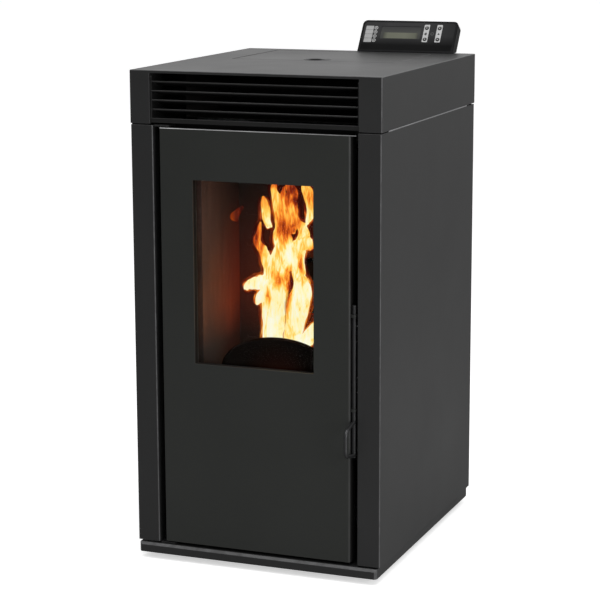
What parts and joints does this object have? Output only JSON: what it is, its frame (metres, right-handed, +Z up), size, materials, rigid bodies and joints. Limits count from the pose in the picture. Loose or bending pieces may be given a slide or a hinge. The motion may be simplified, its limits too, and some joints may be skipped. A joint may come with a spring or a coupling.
{
  "type": "pellet stove",
  "caption": "Free-standing pellet stove with a glazed door, louvred warm-air grille, top hopper lid, inclined feed auger, ash drawer and tilted control console.",
  "frame": {"origin": "on the floor, in the middle of the whole stove's bounding box", "axes": "+X to the right of someone facing the door, -Y out of the door towards them, +Z up"},
  "size_m": [0.454, 0.625, 0.9182],
  "materials": {
    "casing_paint": "matt textured powder coat",
    "door_paint": "satin heat-resistant paint",
    "grille_paint": "matt powder coat",
    "firebox_paint": "heat-stained matt paint",
    "galvanised_steel": "galvanised sheet",
    "zinc_steel": "zinc plated",
    "dark_steel": "blackened steel",
    "cast_iron": "rough cast",
    "lining_board": "pressed vermiculite",
    "glass_ceramic": "clear polished",
    "rope_fibre": "knitted fibreglass",
    "seal_rubber": "soft matt",
    "motor_metal": "cast",
    "motor_plastic": "moulded",
    "board_green": "solder mask",
    "console_plastic": "fine grain",
    "fascia_plastic": "satin film",
    "screen": "backlit screen",
    "button_rubber": "matt",
    "socket_plastic": "moulded",
    "foot_plastic": "moulded",
    "cup_plastic": "moulded",
    "stainless": "bare stainless"
  },
  "bodies": {
    "stove_body": {"base_plate": "casing_paint", "side_panel_left": "casing_paint", "side_panel_right": "casing_paint", "top_cover": "casing_paint", "rear_panel": "galvanised_steel", "inner_frame": "galvanised_steel", "grille_frame": "grille_paint", "grille_blades": "grille_paint", "door_hinge_brackets": "dark_steel", "latch_keepers": "zinc_steel", "firebox": "firebox_paint", "firebox_linings": "lining_board", "baffle_plate": "lining_board", "hearth_plate": "cast_iron", "ember_guard": "cast_iron", "hopper": "galvanised_steel", "hopper_guard": "zinc_steel", "hopper_seal": "seal_rubber", "lid_hinge_brackets": "zinc_steel", "auger_tube": "dark_steel", "auger_gearmotor": "motor_metal", "pellet_chute": "dark_steel", "exhaust_fan_housing": "motor_metal", "exhaust_fan_motor": "motor_plastic", "flue_outlet": "dark_steel", "air_intake_pipe": "zinc_steel", "igniter": "stainless", "room_fan_housing": "galvanised_steel", "room_fan_motor": "motor_metal", "air_duct": "galvanised_steel", "display_housing": "console_plastic", "display_fascia": "fascia_plastic", "display_window": "screen", "display_bracket": "casing_paint", "control_board": "board_green", "mains_inlet": "socket_plastic", "safety_thermostats": "motor_plastic", "pressure_switch": "motor_plastic", "rear_screws": "zinc_steel"},
    "door": {"door_panel": "door_paint", "door_frame": "firebox_paint", "door_glass": "glass_ceramic", "door_gasket": "rope_fibre"},
    "latch": {"latch_handle": "dark_steel"},
    "drawer": {"ash_drawer": "firebox_paint"},
    "pot": {"burn_pot": "cast_iron"},
    "auger": {"auger_screw": "dark_steel"},
    "exhaust_wheel": {"exhaust_impeller": "stainless"},
    "room_wheel": {"room_fan_wheel": "zinc_steel"},
    "lid": {"hopper_lid": "casing_paint", "lid_finger_cup": "cup_plastic"},
    "rocker": {"mains_switch": "socket_plastic"},
    "button_1": {"display_button_1": "button_rubber"},
    "button_2": {"display_button_2": "button_rubber"},
    "button_3": {"display_button_3": "button_rubber"},
    "button_4": {"display_button_4": "button_rubber"},
    "levelling_front_left": {"foot_front_left": "foot_plastic"},
    "levelling_front_right": {"foot_front_right": "foot_plastic"},
    "levelling_rear_left": {"foot_rear_left": "foot_plastic"},
    "levelling_rear_right": {"foot_rear_right": "foot_plastic"}
  },
  "joints": [
    {"name": "door_hinge", "type": "hinge", "parent": "stove_body", "child": "door", "pos_m": [-0.165, -0.2605, 0.4], "axis": [0, 0, 1], "range_deg": [-110, 0]},
    {"name": "latch_turn", "type": "hinge", "parent": "door", "child": "latch", "pos_m": [0.1776, -0.2665, 0.352], "axis": [0, 0, 1], "range_deg": [0, 32]},
    {"name": "ash_drawer_slide", "type": "slide", "parent": "stove_body", "child": "drawer", "axis": [0, -1, 0], "range_m": [0, 0.14]},
    {"name": "burn_pot_lift", "type": "slide", "parent": "stove_body", "child": "pot", "axis": [0, 0, 1], "range_m": [0, 0.06]},
    {"name": "auger_turn", "type": "hinge", "parent": "stove_body", "child": "auger", "pos_m": [0, 0.1075, 0.417], "axis": [0, -0.7071, 0.7071], "continuous": true},
    {"name": "exhaust_wheel_spin", "type": "hinge", "parent": "stove_body", "child": "exhaust_wheel", "pos_m": [-0.13, 0.0335, 0.1153], "axis": [1, 0, 0], "continuous": true},
    {"name": "room_wheel_spin", "type": "hinge", "parent": "stove_body", "child": "room_wheel", "pos_m": [0.132, 0.0375, 0.108], "axis": [1, 0, 0], "continuous": true},
    {"name": "hopper_lid_hinge", "type": "hinge", "parent": "stove_body", "child": "lid", "pos_m": [0, 0.2065, 0.848], "axis": [-1, 0, 0], "range_deg": [0, 85]},
    {"name": "mains_switch_rock", "type": "hinge", "parent": "stove_body", "child": "rocker", "pos_m": [0.175, 0.248, 0.2565], "axis": [1, 0, 0], "range_deg": [0, 16]},
    {"name": "display_button_1_press", "type": "slide", "parent": "stove_body", "child": "button_1", "axis": [0, 0.8241, -0.5664], "range_m": [0, 0.0008], "stiffness_N_per_m": 800},
    {"name": "display_button_2_press", "type": "slide", "parent": "stove_body", "child": "button_2", "axis": [0, 0.8241, -0.5664], "range_m": [0, 0.0008], "stiffness_N_per_m": 800},
    {"name": "display_button_3_press", "type": "slide", "parent": "stove_body", "child": "button_3", "axis": [0, 0.8241, -0.5664], "range_m": [0, 0.0008], "stiffness_N_per_m": 800},
    {"name": "display_button_4_press", "type": "slide", "parent": "stove_body", "child": "button_4", "axis": [0, 0.8241, -0.5664], "range_m": [0, 0.0008], "stiffness_N_per_m": 800},
    {"name": "foot_front_left_screw", "type": "slide", "parent": "stove_body", "child": "levelling_front_left", "axis": [0, 0, -1], "range_m": [0, 0.015]},
    {"name": "foot_front_right_screw", "type": "slide", "parent": "stove_body", "child": "levelling_front_right", "axis": [0, 0, -1], "range_m": [0, 0.015]},
    {"name": "foot_rear_left_screw", "type": "slide", "parent": "stove_body", "child": "levelling_rear_left", "axis": [0, 0, -1], "range_m": [0, 0.015]},
    {"name": "foot_rear_right_screw", "type": "slide", "parent": "stove_body", "child": "levelling_rear_right", "axis": [0, 0, -1], "range_m": [0, 0.015]}
  ],
  "couplings": [
    {"joint": "ash_drawer_slide", "follows": "door_hinge", "m_per_rad": -0.0729}
  ]
}
